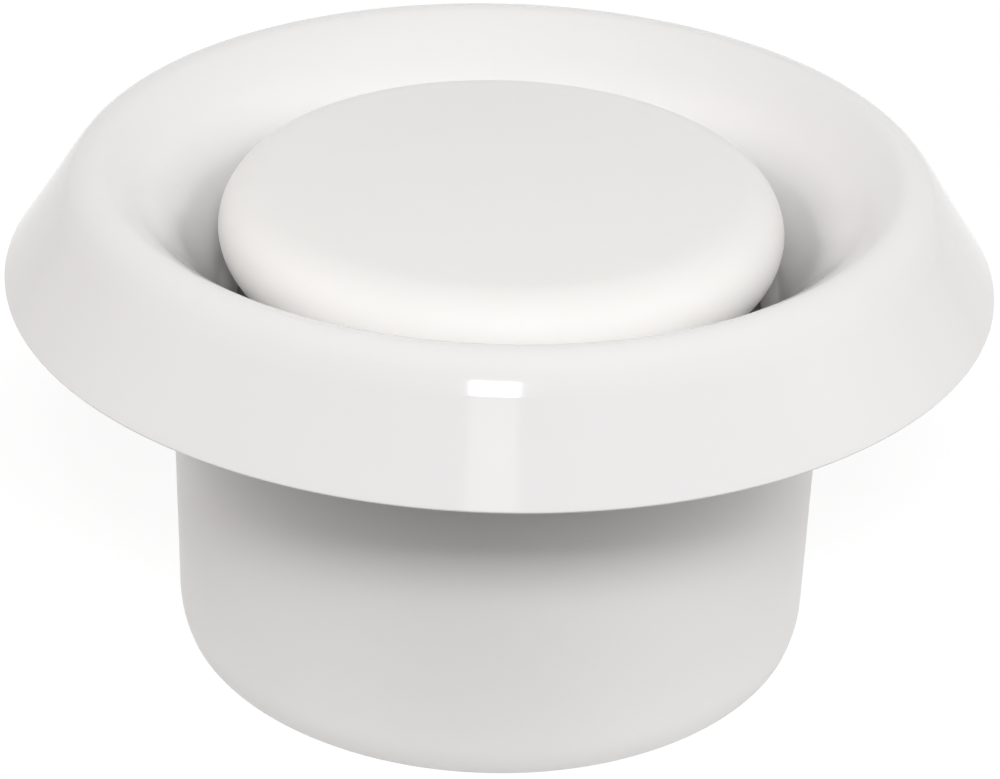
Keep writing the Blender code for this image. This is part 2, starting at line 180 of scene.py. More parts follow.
@dataclass(frozen=True)
class MouldedPlastic:
    """Injection-moulded plastic, as it leaves the tool.

    Attributes:
        name: Name of the material.
        colour: Colour of the resin.
        shade: Colour of the resin where it flowed last, a little duller.
        roughness: Roughness of the polished tool's copy.
        haze: How far the roughness wanders over the surface.
        wave: Width of the surface's slow waves, in millimetres.
        wave_depth: Depth of those waves, in millimetres.
        grain: Width of the fine grain, in millimetres.
        grain_depth: Depth of the fine grain, in millimetres.
        ior: Refractive index of the resin.
        flow: Width of the flow marks, in millimetres.
        smear: Width of the patches over which the roughness wanders, in millimetres.
    """

    name: str
    colour: str
    shade: str
    roughness: float
    haze: float
    wave: float
    wave_depth: float
    grain: float
    grain_depth: float
    ior: float = 1.5
    flow: float = 32.0
    smear: float = 9.0

    def material(self) -> bpy.types.Material:
        """Makes the plastic: slow flow marks, shrinkage waves and the tool's fine grain.

        Returns:
            The new material.
        """
        material = blank_material(self.name)
        tree = material.node_tree
        place = add_node(tree, "ShaderNodeTexCoord").outputs["Object"]
        patterns = (
            (self.flow, 3.0, 0.55), (self.smear, 5.0, 0.6), (self.wave, 1.0, 0.4), (self.grain, 2.0, 0.5),
        )
        flow, smear, waves, grain = (
            add_node(tree, "ShaderNodeTexNoise", {
                "Vector": place, "Scale": per_metre(width), "Detail": detail, "Roughness": rough,
            }).outputs["Fac"]
            for width, detail, rough in patterns
        )
        tone = add_node(tree, "ShaderNodeMix", {
            "Factor": flow, 6: linear(self.shade), 7: linear(self.colour),
        }, data_type="RGBA")
        gloss = add_node(tree, "ShaderNodeMapRange", {
            "Value": smear, "From Min": 0.3, "From Max": 0.7,
            "To Min": self.roughness - self.haze, "To Max": self.roughness + self.haze,
        })
        slow = add_node(tree, "ShaderNodeBump", {
            "Height": waves, "Strength": 1.0, "Distance": self.wave_depth * MM,
        })
        fine = add_node(tree, "ShaderNodeBump", {
            "Height": grain, "Strength": 1.0, "Distance": self.grain_depth * MM,
            "Normal": slow.outputs["Normal"],
        })
        shader = add_node(tree, "ShaderNodeBsdfPrincipled", {
            "Base Color": tone.outputs[2], "Roughness": gloss.outputs["Result"], "IOR": self.ior,
            "Normal": fine.outputs["Normal"],
        })
        add_node(tree, "ShaderNodeOutputMaterial", {"Surface": shader.outputs["BSDF"]})
        return material


@dataclass(frozen=True)
class CellFoam:
    """Closed-cell foam sheet, punched into a ring.

    Attributes:
        name: Name of the material.
        skin: Colour of a cell's wall.
        pit_shade: Darker colour painted in an open cell, as the shade inside it.
        cell: Width of a cell, in millimetres.
        pit_depth: Depth of an open cell, in millimetres.
    """

    name: str
    skin: str
    pit_shade: str
    cell: float
    pit_depth: float

    def material(self) -> bpy.types.Material:
        """Makes the foam: open cells at the cut, in a matt skin, each cell painted darker towards its middle
        as its shade.

        Returns:
            The new material.
        """
        material = blank_material(self.name)
        tree = material.node_tree
        place = add_node(tree, "ShaderNodeTexCoord").outputs["Object"]
        cells = add_node(tree, "ShaderNodeTexVoronoi", {
            "Vector": place, "Scale": per_metre(self.cell), "Randomness": 1.0,
        })
        wall = add_node(tree, "ShaderNodeMapRange", {
            "Value": cells.outputs["Distance"], "From Min": 0.05, "From Max": 0.5,
        }, interpolation_type="SMOOTHSTEP")
        # Painted shade: each open cell is coloured darker towards its middle, where it is deepest.
        tone = add_node(tree, "ShaderNodeMix", {
            "Factor": wall.outputs["Result"], 6: linear(self.pit_shade), 7: linear(self.skin),
        }, data_type="RGBA")
        bump = add_node(tree, "ShaderNodeBump", {
            "Height": wall.outputs["Result"], "Strength": 1.0, "Distance": self.pit_depth * MM,
        })
        shader = add_node(tree, "ShaderNodeBsdfPrincipled", {
            "Base Color": tone.outputs[2], "Roughness": 0.92, "IOR": 1.45,
            "Normal": bump.outputs["Normal"],
        })
        add_node(tree, "ShaderNodeOutputMaterial", {"Surface": shader.outputs["BSDF"]})
        return material


@dataclass(frozen=True)
class ZincPlate:
    """Bright zinc plate with a clear blue passivation, on turned or rolled steel.

    Attributes:
        name: Name of the material.
        colour: Colour of the plate.
        tint: Colour of the passivation where it is thicker.
        roughness: Roughness of the plate.
        haze: How far the roughness differs from crystal to crystal.
        patch: Width of the tint's patches, in millimetres.
        grain: Width of the plate's crystals, in millimetres.
        line: Spacing of the turning marks, in millimetres.
        line_depth: Depth of the turning marks, in millimetres.
    """

    name: str
    colour: str
    tint: str
    roughness: float
    haze: float
    patch: float
    grain: float
    line: float
    line_depth: float

    def material(self) -> bpy.types.Material:
        """Makes the plate: crystal grain, faint turning marks and a patchy tint.

        Returns:
            The new material.
        """
        material = blank_material(self.name)
        tree = material.node_tree
        place = add_node(tree, "ShaderNodeTexCoord").outputs["Object"]
        patch = add_node(tree, "ShaderNodeTexNoise", {
            "Vector": place, "Scale": per_metre(self.patch), "Detail": 3.0, "Roughness": 0.6,
        })
        tone = add_node(tree, "ShaderNodeMix", {
            "Factor": patch.outputs["Fac"], 6: linear(self.tint), 7: linear(self.colour),
        }, data_type="RGBA")
        crystal = add_node(tree, "ShaderNodeTexNoise", {
            "Vector": place, "Scale": per_metre(self.grain), "Detail": 4.0, "Roughness": 0.7,
        })
        gloss = add_node(tree, "ShaderNodeMapRange", {
            "Value": crystal.outputs["Fac"], "From Min": 0.25, "From Max": 0.75,
            "To Min": self.roughness - self.haze, "To Max": self.roughness + self.haze,
        })
        marks = add_node(tree, "ShaderNodeTexWave", {
            "Vector": place, "Scale": per_metre(self.line) / TURN, "Distortion": 1.5, "Detail": 2.0,
        }, wave_type="RINGS", rings_direction="Z")
        turned = add_node(tree, "ShaderNodeBump", {
            "Height": marks.outputs["Fac"], "Strength": 1.0, "Distance": self.line_depth * MM,
        })
        shader = add_node(tree, "ShaderNodeBsdfPrincipled", {
            "Base Color": tone.outputs[2], "Metallic": 1.0, "Roughness": gloss.outputs["Result"],
            "Normal": turned.outputs["Normal"],
        })
        add_node(tree, "ShaderNodeOutputMaterial", {"Surface": shader.outputs["BSDF"]})
        return material


# Moulded ABS from a polished tool: near-white, glossy, with soft waves that bend the lamps' edges.
GLOSS_ABS = MouldedPlastic(
    "gloss_moulded_abs", colour="#efeeee", shade="#edecec", roughness=0.08, haze=0.015,
    wave=14.0, wave_depth=0.01, grain=0.6, grain_depth=0.0004,
)
# The same resin from a finely blasted tool half: a shade warmer, with blurred reflections.
SATIN_ABS = MouldedPlastic(
    "satin_moulded_abs", colour="#efeeec", shade="#edecea", roughness=0.5, haze=0.03,
    wave=18.0, wave_depth=0.012, grain=0.4, grain_depth=0.0012,
)
# Moulded polypropylene: a duller, greyer white with a waxy sheen.
SLEEVE_PP = MouldedPlastic(
    "moulded_polypropylene", colour="#ecebea", shade="#e9e8e7", roughness=0.42, haze=0.04,
    wave=16.0, wave_depth=0.01, grain=0.5, grain_depth=0.0015, ior=1.49,
)
# Closed-cell polyethylene foam, with painted shade in each open cell. Its real cells are about 0.4 mm; they
# are drawn at 0.7 mm to show.
GREY_FOAM = CellFoam("polyethylene_foam", skin="#a9aaa7", pit_shade="#7d7e7b", cell=0.7, pit_depth=0.12)
# Zinc plate with clear blue passivation: bright, faintly blue and slightly grainy.
ZINC = ZincPlate(
    "blue_zinc_plated_steel", colour="#c9ccd0", tint="#b9bfca", roughness=0.31, haze=0.09,
    patch=5.0, grain=0.25, line=0.35, line_depth=0.004,
)


# Mesh tools


def stepped(point: Point, distance: float, angle: float) -> Point:
    """The point at a distance from another, in the direction of an angle."""
    return point[0] + distance * math.cos(angle), point[1] + distance * math.sin(angle)


def between(start: Point, end: Point, share: float) -> Point:
    """The point at a share of the way from one point to another."""
    return start[0] + (end[0] - start[0]) * share, start[1] + (end[1] - start[1]) * share


def arc(centre: Point, radius: float, start: float, end: float) -> list[Point]:
    """Points of an arc in the r-z plane, in steps no longer than ARC_STEP and LONG_STEP.

    Args:
        centre: Centre of the arc.
        radius: Radius of the arc.
        start: First angle, in radians from +r towards +z.
        end: Last angle.

    Returns:
        The points, both ends included.
    """
    turn = abs(end - start)
    steps = max(2, math.ceil(turn / ARC_STEP), math.ceil(turn * radius / LONG_STEP))
    return [stepped(centre, radius, start + (end - start) * i / steps) for i in range(steps + 1)]


def corner_arc(corner: Point, radius: float, start: float, end: float) -> list[Point]:
    """Points of the quarter arc that rounds a square corner, from one angle to another."""
    return arc(stepped(corner, -math.sqrt(2.0) * radius, 0.5 * (start + end)), radius, start, end)


def tangent_angle(centre: Point, radius: float, point: Point) -> float:
    """Angle on a circle where a line from a point below and outside touches its upper side.

    Args:
        centre: Centre of the circle.
        radius: Radius of the circle.
        point: Point outside the circle.

    Returns:
        The angle of the touch, in radians from +r.
    """
    run, rise = point[0] - centre[0], point[1] - centre[1]
    return math.atan2(rise, run) + math.acos(radius / math.hypot(run, rise))


def supported(points: list[Point], closed: bool, margin: float = 0.25) -> list[Point]:
    """Adds a point near both ends of each long straight, which holds the shading of round edges.

    Args:
        points: Points of a section.
        closed: Whether a straight joins the last point to the first.
        margin: Distance of the added points from the ends.

    Returns:
        The section with the added points.
    """
    result: list[Point] = []
    ends = points[1:] + (points[:1] if closed else [])
    for a, b in zip(points, ends):
        result.append(a)
        length = math.dist(a, b)
        if length > 4.0 * margin:
            result += [between(a, b, share) for share in (margin / length, 1.0 - margin / length)]
    return result if closed else result + points[-1:]


def section_edges(shape: Shape, points: list[Point], closed: bool) -> list:
    """Adds a section to a shape, in the XZ plane.

    Args:
        shape: Shape that gets the section.
        points: Points of the section, in millimetres.
        closed: Whether an edge joins the last point to the first.

    Returns:
        The section's vertices and edges.
    """
    verts = [shape.verts.new((r * MM, 0.0, z * MM)) for r, z in points]
    pairs = list(zip(verts, verts[1:])) + ([(verts[-1], verts[0])] if closed else [])
    return verts + [shape.edges.new(pair) for pair in pairs]


def tidy(shape: Shape) -> Shape:
    """Merges doubles and turns the faces outwards.

    Args:
        shape: Closed shape.

    Returns:
        The same shape.
    """
    bmesh.ops.remove_doubles(shape, verts=shape.verts, dist=CLOSE)
    bmesh.ops.recalc_face_normals(shape, faces=shape.faces)
    return shape


def turned(points: list[Point], steps: int = ROUND_STEPS) -> Shape:
    """Turns a section all the way around Z.

    Args:
        points: Section in millimetres, closed unless both its ends are on the axis.
        steps: Steps around.

    Returns:
        The closed shape.
    """
    closed = points[0][0] > 0.0 or points[-1][0] > 0.0
    shape = bmesh.new()
    geometry = section_edges(shape, supported(points, closed), closed)
    bmesh.ops.spin(shape, geom=geometry, axis=(0, 0, 1), angle=TURN, steps=steps, use_merge=True)
    return tidy(shape)


def turned_sectors(points: list[Point], count: int, span: float) -> Shape:
    """Turns a closed section through a span, at even places around Z from +Y.

    Args:
        points: Section in millimetres.
        count: Number of sectors.
        span: Angle of one sector, in radians.

    Returns:
        The closed shapes.
    """
    shape = bmesh.new()
    steps = max(2, round(ROUND_STEPS * span / TURN))
    for i in range(count):
        geometry = section_edges(shape, points, True)
        verts = [g for g in geometry if isinstance(g, bmesh.types.BMVert)]
        start = Matrix.Rotation(QUARTER + i * TURN / count - 0.5 * span, 3, "Z")
        bmesh.ops.rotate(shape, verts=verts, matrix=start)
        bmesh.ops.spin(shape, geom=geometry, axis=(0, 0, 1), angle=span, steps=steps)
    rims = [e for e in shape.edges if e.is_boundary]
    bmesh.ops.holes_fill(shape, edges=rims, sides=0)
    return tidy(shape)


def extruded(corners: list[Vector], along: Vector) -> Shape:
    """Makes a bar of a face, in millimetres.

    Args:
        corners: Corners of the face.
        along: Way from the face to the bar's other end.

    Returns:
        The closed bar.
    """
    shape = bmesh.new()
    face = shape.faces.new([shape.verts.new(c * MM) for c in corners])
    grown = bmesh.ops.extrude_face_region(shape, geom=[face])["geom"]
    moved = [g for g in grown if isinstance(g, bmesh.types.BMVert)]
    bmesh.ops.translate(shape, verts=moved, vec=along * MM)
    return tidy(shape)


def as_mesh(shape: Shape, name: str) -> bpy.types.Mesh:
    """Turns a shape into a mesh.

    Args:
        shape: Shape, which is freed.
        name: Name of the mesh.

    Returns:
        The new mesh.
    """
    mesh = bpy.data.meshes.new(name)
    shape.to_mesh(mesh)
    shape.free()
    return mesh


def linked(data: bpy.types.ID, name: str) -> bpy.types.Object:
    """Makes an object and links it to the scene.

    Args:
        data: The object's mesh, lamp or camera.
        name: Name of the object.

    Returns:
        The new object.
    """
    obj = bpy.data.objects.new(name, data)
    bpy.context.scene.collection.objects.link(obj)
    return obj


def merged(shapes: list[Shape]) -> Shape:
    """Puts shapes that don't touch into one.

    Args:
        shapes: Shapes, which are freed.

    Returns:
        One shape with all their faces.
    """
    result = bmesh.new()
    for shape in shapes:
        mesh = as_mesh(shape, "shape")
        result.from_mesh(mesh)
        bpy.data.meshes.remove(mesh)
    return result


def around(shape: Shape, count: int, first: float) -> Shape:
    """Repeats a shape at even places around Z.

    Args:
        shape: The shape at the angle zero, which is freed.
        count: Number of copies.
        first: Angle of the first copy, in radians.

    Returns:
        All the copies in one shape.
    """
    copies = [shape.copy() for _ in range(count)]
    shape.free()
    for i, copy in enumerate(copies):
        turn = Matrix.Rotation(first + i * TURN / count, 4, "Z")
        bmesh.ops.transform(copy, verts=copy.verts, matrix=turn)
    return merged(copies)


def raised(shape: Shape, height: float) -> Shape:
    """Lifts a shape by a height in millimetres."""
    bmesh.ops.translate(shape, verts=shape.verts, vec=(0, 0, height * MM))
    return shape


def sharp_edges(shape: Shape) -> list[bmesh.types.BMEdge]:
    """The edges at which two faces meet at more than the angle SHARP."""
    return [e for e in shape.edges if len(e.link_faces) == 2 and e.calc_face_angle() > SHARP]


def rounded(shape: Shape, edges: list, width: float, segments: int) -> Shape:
    """Rounds some edges of a shape.

    Args:
        shape: Shape that has the edges.
        edges: Edges to round.
        width: Width of the rounding, in millimetres.
        segments: Faces across the rounding.

    Returns:
        The same shape.
    """
    bmesh.ops.bevel(
        shape, geom=edges, offset=width * MM, offset_type="OFFSET", affect="EDGES", segments=segments,
        profile=0.5, material=-1, clamp_overlap=True,
    )
    return shape


def combined(base: Shape, tool: Shape, operation: Operation) -> Shape:
    """Joins a tool to a shape, cuts it away or keeps what both share.

    Args:
        base: Closed shape, which is freed.
        tool: Closed tool, which is freed.
        operation: What the tool does.

    Returns:
        The result as a new shape.
    """
    target, cutter = (linked(as_mesh(shape, "shape"), "shape") for shape in (base, tool))
    modifier = target.modifiers.new("combine", "BOOLEAN")
    modifier.object = cutter
    modifier.operation = operation.value
    modifier.solver = "EXACT"
    result = bmesh.new()
    result.from_object(target, bpy.context.evaluated_depsgraph_get())
    for obj in (target, cutter):
        mesh = obj.data
        bpy.data.objects.remove(obj)
        bpy.data.meshes.remove(mesh)
    bmesh.ops.remove_doubles(result, verts=result.verts, dist=CLOSE)
    return result


@dataclass(frozen=True)
class Dress:
    """What a finished piece is called, wears and rides on."""

    name: str
    node: str
    body: Body
    slot: Slot
    finish: Finish


def publish(shape: Shape, dress: Dress, sharp: float = 32.0) -> None:
    """Makes a shape a finished piece in place of its solid.

    Args:
        shape: Closed shape in the frame's coordinates, which is freed.
        dress: Name, finish and body of the piece.
        sharp: Angle in degrees past which an edge stays sharp.
    """
    open_edges = sum(len(edge.link_faces) != 2 for edge in shape.edges)
    mesh = as_mesh(shape, dress.name)
    mesh.shade_smooth()
    mesh.set_sharp_from_angle(angle=math.radians(sharp))
    mesh.materials.append(bpy.data.materials.get(dress.finish.name) or dress.finish.material())
    obj = linked(mesh, dress.name)
    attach(obj, dress.body.value)
    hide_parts(dress.node)
    faces, body = len(mesh.polygons), dress.body.value
    log.info("%s: %d faces, %d open edges, on %s", dress.name, faces, open_edges, body)


def node_low(node: str) -> float:
    """Lowest height of a frame node, in millimetres."""
    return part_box(node)[0].z / MM


def node_high(node: str) -> float:
    """Highest height of a frame node, in millimetres."""
    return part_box(node)[1].z / MM


def node_radius(node: str) -> float:
    """Outer radius of a round frame node, in millimetres."""
    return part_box(node)[1].x / MM


# The valve's pieces


@dataclass
class DuctCollar:
    """Sleeve for the duct, with its screw flange and the beads that hold the valve."""

    radius: float = 49.5
    draft: float = 0.25
    wall: float = 2.1
    lead_in_height: float = 4.3
    lead_in_depth: float = 0.7
    end_edge: float = 0.23
    flange_width: float = 10.5
    flange_thickness: float = 1.8
    edge_round: float = 0.45
    screw_count: int = 3
    screw_hole: float = 2.2
    countersink: float = 1.2
    bead_depth: float = 1.5
    bead_height: float = 2.0
    bead_drop: float = 6.5
    bead_arc: float = math.radians(85.0)
    wall_z: float = field(default_factory=lambda: node_high("duct_collar") - DuctCollar.flange_thickness)

    @property
    def bore(self) -> float:
        """Radius of the sleeve's bore."""
        return self.radius - self.wall

    @property
    def screw_circle(self) -> float:
        """Radius of the circle that the screw holes lie on."""
        return self.radius + 0.5 * self.flange_width

    def section(self, seat_foot: float, slope: float) -> list[Point]:
        """Section of the collar from its conical seat around to the bore.

        Args:
            seat_foot: Height where the seat meets the bore.
            slope: Slope of the seat, in radians.

        Returns:
            Points of the closed section.
        """
        top = self.wall_z + self.flange_thickness
        outer = self.radius + self.flange_width
        seat_top = self.bore + (top - seat_foot) / math.tan(slope)
        points = [(self.bore, seat_foot), (seat_top, top)]
        points += corner_arc((outer, top), self.edge_round, QUARTER, 0.0)
        points += [(outer, self.wall_z), (self.radius, self.wall_z)]
        wall, edge = self.radius - self.draft, self.end_edge
        inset, rise = self.lead_in_depth + edge, self.lead_in_height - edge
        sweep = (inset ** 2 + rise ** 2 - edge ** 2) / (2.0 * self.lead_in_depth)
        lead = math.atan2(rise, sweep - inset)
        points += arc((wall - sweep, self.lead_in_height), sweep, 0.0, -lead)
        points += arc((wall - inset, edge), edge, -lead, -QUARTER)[1:]
        points += corner_arc((self.bore, 0.0), edge, -QUARTER, -HALF)
        return points

    def holes(self, radius: float, low: float, high: float, sink: float) -> Shape:
        """Cutters for the screw holes.

        Args:
            radius: Radius of a hole.
            low: Foot of the cutters.
            high: Face that the countersink opens into.
            sink: Depth of the countersink.

        Returns:
            The cutters in one shape.
        """
        points = [(0.0, low), (radius, low), (radius, high - sink), (radius + 2.0 * sink, high + sink)]
        points += [(0.0, high + sink)]
        cutter = turned(points, SMALL_STEPS)
        bmesh.ops.translate(cutter, verts=cutter.verts, vec=(self.screw_circle * MM, 0, 0))
        return around(cutter, self.screw_count, QUARTER + 0.5 * TURN / self.screw_count)

    def build(self, seat_foot: float, slope: float) -> None:
        """Makes and dresses the collar.

        Args:
            seat_foot: Height where the seat for the bell meets the bore.
            slope: Slope of the seat, in radians.
        """
        low = self.wall_z - self.bead_drop - self.bead_height
        high = low + self.bead_height
        inside, root = self.bore - self.bead_depth, self.bore + ROOTED * self.wall
        bead = [(inside, low), (root, low), (root, high + self.bead_depth)]
        bead += [(self.bore, high + self.bead_depth), (inside, high)]
        shape = turned(self.section(seat_foot, slope))
        shape = combined(shape, turned_sectors(bead, self.screw_count, self.bead_arc), Operation.UNION)
        top = self.wall_z + self.flange_thickness
        cutters = self.holes(self.screw_hole, self.wall_z - PAST, top, self.countersink)
        shape = combined(shape, cutters, Operation.DIFFERENCE)
        publish(shape, Dress("collar_moulding", "duct_collar", Body.VALVE, Slot.SLEEVE, SLEEVE_PP))


@dataclass
class WallGasket:
    """Foam ring on the back of the collar's flange."""

    hole: float = 3.2
    cut_round: float = 0.35

    def build(self, collar: DuctCollar) -> None:
        """Makes and dresses the foam ring, punched in line with the collar's screw holes.

        Args:
            collar: Collar that the ring is stuck to.
        """
        low, high = node_low("wall_gasket"), node_high("wall_gasket")
        outer = node_radius("wall_gasket")
        inner = collar.radius + (collar.wall_z - high)
        points: list[Point] = []
        for i, corner in enumerate(((outer, high), (inner, high), (inner, low), (outer, low))):
            points += corner_arc(corner, self.cut_round, i * QUARTER, (i + 1) * QUARTER)
        cutters = collar.holes(self.hole, low - PAST, high + PAST, 0.0)
        shape = combined(turned(points), cutters, Operation.DIFFERENCE)
        publish(shape, Dress("gasket_foam", "wall_gasket", Body.VALVE, Slot.FOAM, GREY_FOAM))


@dataclass
class ValveRing:
    """Rim, bell mouth, plug tube, lugs and bridge of the valve, one moulding."""

    collar: DuctCollar
    crest_reach: float = 9.8
    rim_wall: float = 2.2
    rim_edge_round: float = 0.25
    shoulder_round: float = 5.7
    crest_inner_round: float = 3.3
    crown_shift: float = 0.1
    crown_round: float = 5.6
    band_start: float = math.radians(39.4)
    band_round: float = 34.0
    band_end: float = math.radians(35.2)
    turn_round: float = 5.8
    turn_end: float = math.radians(31.9)
    face_hollow: float = 0.05
    lip_turn: float = math.radians(30.0)
    flare_turn: float = math.radians(45.0)
    flare_round: float = 18.0
    knee_radius: float = 42.0
    seat_drop: float = 0.6
    seat_gap: float = 0.3
    throat_lip: float = 4.3
    plug_wall: float = 1.8
    plug_tail: float = 3.9
    lug_arc: float = math.radians(26.0)
    lug_height: float = 2.5
    arm_count: int = 3
    arm_thickness: float = 2.6
    arm_edge: float = 1.4
    arm_height: float = 9.5
    arm_belly: float = 0.35
    arm_round: float = 0.35
    hub_wall: float = 2.1
    hub_height: float = 13.0
    hub_round: float = 1.5
    hub_edge: float = 0.3
    pocket_across: float = 13.6
    thread_hole: float = 4.25
    rim_radius: float = field(init=False)
    crest_height: float = field(init=False)
    crest_radius: float = field(init=False)
    plug_radius: float = field(init=False)
    plug_bore: float = field(init=False)
    throat: float = field(init=False)
    slope: float = field(init=False)
    hub_top: float = field(init=False)
    hub_foot: float = field(init=False)
    arm_foot: float = field(init=False)

    def __post_init__(self) -> None:
        """Works out the radii, the bell's cone and the bridge's heights from the frame and the collar."""
        self.rim_radius = node_radius("valve_ring")
        self.crest_height = node_high("valve_ring") - self.collar.wall_z
        self.crest_radius = self.collar.radius + self.crest_reach
        self.plug_radius = self.collar.bore - self.collar.bead_depth - self.seat_gap
        self.plug_bore = self.plug_radius - self.plug_wall
        self.throat = self.plug_bore - self.throat_lip
        run = self.crest_radius - self.collar.bore
        rise = self.crest_height - self.crest_inner_round + self.seat_drop
        offset = self.crest_inner_round - self.rim_wall - self.seat_gap
        self.slope = math.atan2(rise, run) + math.asin(offset / math.hypot(run, rise))
        self.hub_top = node_low("hub_nut") + self.hub_height - self.collar.wall_z
        self.hub_foot = self.hub_top - self.hub_height
        self.arm_foot = self.hub_top - 0.5 * (self.hub_height + self.arm_height)

    def bell_height(self, radius: float, depth: float = 0.0) -> float:
        """Height of the bell's cone above the wall.

        Args:
            radius: Radius at which the height is asked.
            depth: Depth behind the cone's face.

        Returns:
            The height.
        """
        touch = QUARTER + self.slope
        r = self.crest_radius + self.crest_inner_round * math.cos(touch)
        z = self.crest_height - self.crest_inner_round + self.crest_inner_round * math.sin(touch)
        return z - (r - radius) * math.tan(self.slope) - depth / math.cos(self.slope)

    def section(self) -> list[Point]:
        """Section of the rim, bell and plug, in heights above the wall.

        Returns:
            Points of the closed section.
        """
        bell = QUARTER + self.slope
        points = self.face() + self.mouth()
        tip_radius = self.throat + 0.5 * self.rim_wall
        tip = (tip_radius, self.bell_height(tip_radius, 0.5 * self.rim_wall))
        points += arc(tip, 0.5 * self.rim_wall, bell, bell + HALF)

        edge = 0.25 * self.plug_wall
        plug_end = self.arm_foot - self.plug_tail
        points += [(self.plug_bore, self.bell_height(self.plug_bore, self.rim_wall))]
        points += corner_arc((self.plug_bore, plug_end), edge, -HALF, -QUARTER)
        points += corner_arc((self.plug_radius, plug_end), 2.0 * edge, -QUARTER, 0.0)
        points += [(self.plug_radius, self.bell_height(self.plug_radius, self.rim_wall))]

        inner = (self.crest_radius, self.crest_height - self.crest_inner_round)
        shoulder = (self.crest_radius, self.crest_height - self.shoulder_round)
        lean = tangent_angle(shoulder, self.shoulder_round, (self.rim_radius, 0.0))
        points += arc(inner, self.crest_inner_round - self.rim_wall, bell, QUARTER)
        points += arc(shoulder, self.shoulder_round - self.rim_wall, QUARTER, lean)[1:]
        points += [(self.rim_radius - self.rim_wall / math.cos(lean), 0.0)]
        return points

    def face(self) -> list[Point]:
        """Outside of the rim: its hollow face, a slow band that catches the light, and the crown.

        Returns:
            Points from the rim's lower edge to the crest.
        """
        edge = self.rim_edge_round
        crown = (self.crest_radius + self.crown_shift, self.crest_height - self.crown_round)
        band = stepped(crown, self.crown_round - self.band_round, self.band_start)
        turn = stepped(band, self.band_round - self.turn_round, self.band_end)
        top = stepped(turn, self.turn_round, self.turn_end)
        rise = math.atan2(top[1] - edge, self.rim_radius - top[0])
        lean = QUARTER - rise
        points = arc((self.rim_radius - edge, edge), edge, -QUARTER, lean)
        start = points[-1]
        for share in (i / FACE_STEPS for i in range(1, FACE_STEPS)):
            sag = -4.0 * self.face_hollow * share * (1.0 - share)
            points.append(stepped(between(start, top, share), sag, lean))
        points += arc(turn, self.turn_round, self.turn_end, self.band_end)
        points += arc(band, self.band_round, self.band_end, self.band_start)[1:]
        return points + arc(crown, self.crown_round, self.band_start, QUARTER)[1:]

    def mouth(self) -> list[Point]:
        """Mouth: a tight lip, a flare and one long curve to the seat's cone.

        Returns:
            Points from the crest down to the knee.
        """
        lip = (self.crest_radius + self.crown_shift, self.crest_height - self.crest_inner_round)
        first, second = QUARTER + self.lip_turn, QUARTER + self.flare_turn
        flare = stepped(lip, self.crest_inner_round - self.flare_round, first)
        start = stepped(flare, self.flare_round, second)
        knee = (self.knee_radius, self.bell_height(self.knee_radius))
        lean = math.atan2(start[1] - knee[1], start[0] - knee[0]) - self.flare_turn
        radius = 0.5 * math.dist(start, knee) / math.sin(lean)
        points = arc(lip, self.crest_inner_round, QUARTER, first)[1:]
        points += arc(flare, self.flare_round, first, second)[1:]
        return points + arc(stepped(start, -radius, second), radius, second, second + 2.0 * lean)[1:]

    def lugs(self) -> Shape:
        """Lugs that turn in behind the collar's beads.

        Returns:
            The lugs in one shape.
        """
        top = -self.collar.bead_drop - self.collar.bead_height - self.seat_gap
        root = self.plug_radius - ROOTED * self.plug_wall
        tip = self.collar.bore - self.seat_gap
        ramp = 0.5 * (tip - self.plug_radius)
        low = top - self.lug_height
        points = [(root, top), (root, low), (self.plug_radius + ramp, low), (tip, low + ramp), (tip, top)]
        return turned_sectors(points, self.collar.screw_count, self.lug_arc)

    def hub(self) -> Shape:
        """Boss in the middle of the bridge, before its bore and pocket are cut.

        Returns:
            The closed boss.
        """
        radius = self.pocket_corner + self.hub_wall
        points = [(0.0, self.hub_foot)]
        points += corner_arc((radius, self.hub_foot), self.hub_edge, -QUARTER, 0.0)
        points += corner_arc((radius, self.hub_top), self.hub_round, 0.0, QUARTER)
        points += [(0.0, self.hub_top)]
        return turned(points, SMALL_STEPS)

    @property
    def pocket_corner(self) -> float:
        """Radius of the nut pocket at its corners."""
        return hexagon_corner(self.pocket_across)

    def arm(self) -> Shape:
        """One bar of the bridge along +X, thinner at both edges for the tool's draft.

        Returns:
            The closed bar, which ends inside the hub's and the plug's walls.
        """
        start = self.pocket_corner + 0.5 * self.hub_wall
        reach = self.plug_bore + 0.5 * self.plug_wall
        low, high = self.arm_foot, self.arm_foot + self.arm_height
        middle = low + self.arm_belly * self.arm_height
        half, edge = 0.5 * self.arm_thickness, 0.5 * self.arm_edge
        outline = [(-edge, low), (edge, low), (half, middle), (edge, high), (-edge, high), (-half, middle)]
        bar = extruded([Vector((start, y, z)) for y, z in outline], Vector((reach - start, 0, 0)))
        long_edges = [e for e in sharp_edges(bar) if abs((e.verts[0].co - e.verts[1].co).x) > MM]
        return rounded(bar, long_edges, self.arm_round, segments=4)

    def bridge(self) -> Shape:
        """Hub and arms, with the spindle's bore and the nut's pocket cut.

        Returns:
            The closed bridge.
        """
        shape = combined(self.hub(), around(self.arm(), self.arm_count, QUARTER), Operation.UNION)
        foot, top = self.hub_foot - PAST, self.hub_top + PAST
        bore = [(0.0, foot), (self.thread_hole, foot), (self.thread_hole, top), (0.0, top)]
        shape = combined(shape, turned(bore, SMALL_STEPS), Operation.DIFFERENCE)
        pocket = hexagon(self.pocket_across, foot, node_high("hub_nut") + self.seat_gap - self.collar.wall_z)
        return combined(shape, pocket, Operation.DIFFERENCE)

    def build(self) -> None:
        """Makes and dresses the moulding."""
        shape = combined(turned(self.section()), merged([self.lugs(), self.bridge()]), Operation.UNION)
        raised(shape, self.collar.wall_z)
        publish(shape, Dress("ring_moulding", "valve_ring", Body.VALVE, Slot.GLOSS, GLOSS_ABS))


def hexagon_corner(across: float) -> float:
    """Radius of a hexagon's corners, from its width across the flats."""
    return 0.5 * across / math.cos(math.radians(30.0))


